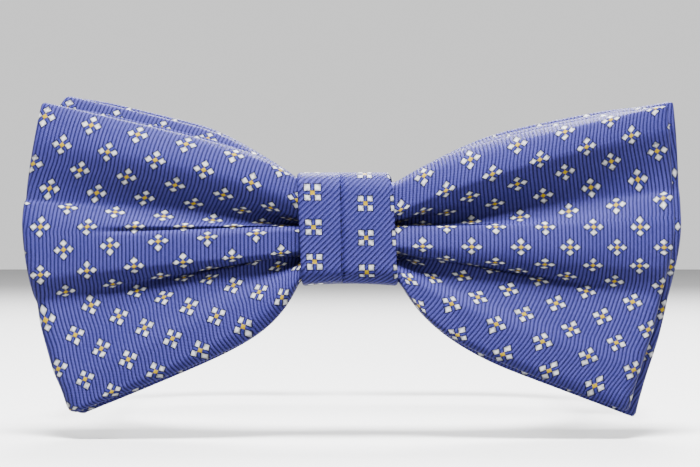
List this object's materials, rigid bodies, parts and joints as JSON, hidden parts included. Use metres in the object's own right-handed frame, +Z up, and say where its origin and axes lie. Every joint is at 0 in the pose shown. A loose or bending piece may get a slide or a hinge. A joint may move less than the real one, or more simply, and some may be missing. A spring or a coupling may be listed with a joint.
{
  "type": "bow tie",
  "caption": "Pre-tied double bow tie in patterned silk repp, with a pleated bow, wrapped knot, adjustable neckband, slider and hook clasp.",
  "frame": {"origin": "centre of the knot's flat back, where it rests against the shirt collar", "axes": "+Y from the bow towards the back of the neck, +Z up as worn, +X to the right seen from the front"},
  "size_m": [0.126, 0.1356, 0.0615],
  "materials": {
    "silk": "blue silk repp with a small white and yellow woven motif",
    "band_silk": "blue silk repp with the same motif, over a fused stiffener",
    "interlining": "undyed woven wool and cotton stiffener",
    "thread": "blue polyester sewing thread",
    "metal": "nickel-plated, satin"
  },
  "bodies": {
    "bow": {"front_bow_silk": "silk", "front_bow_interlining": "interlining", "rear_bow_silk": "silk", "rear_bow_interlining": "interlining", "centre_winding": "thread", "knot_interlining": "interlining", "knot_silk": "silk", "knot_closing_stitches": "thread", "neckband_fixed_half": "band_silk", "neckband_adjusting_half": "band_silk", "catch_end_bartack": "thread"},
    "slider": {"slider": "metal", "adjuster_strap_end": "band_silk", "adjuster_bartack": "thread"},
    "hook": {"hook": "metal"},
    "catch": {"catch": "metal"}
  },
  "joints": [
    {"name": "slider_travel", "type": "slide", "parent": "bow", "child": "slider", "axis": [0, 1, 0], "range_m": [-0.0075, 0.0075]},
    {"name": "hook_swing", "type": "hinge", "parent": "bow", "child": "hook", "pos_m": [0.01, 0.1172, 0], "axis": [0, 0, -1], "range_deg": [0, 60]},
    {"name": "catch_swing", "type": "hinge", "parent": "bow", "child": "catch", "pos_m": [-0.012, 0.1172, 0], "axis": [0, 0, -1], "range_deg": [0, 40]}
  ]
}
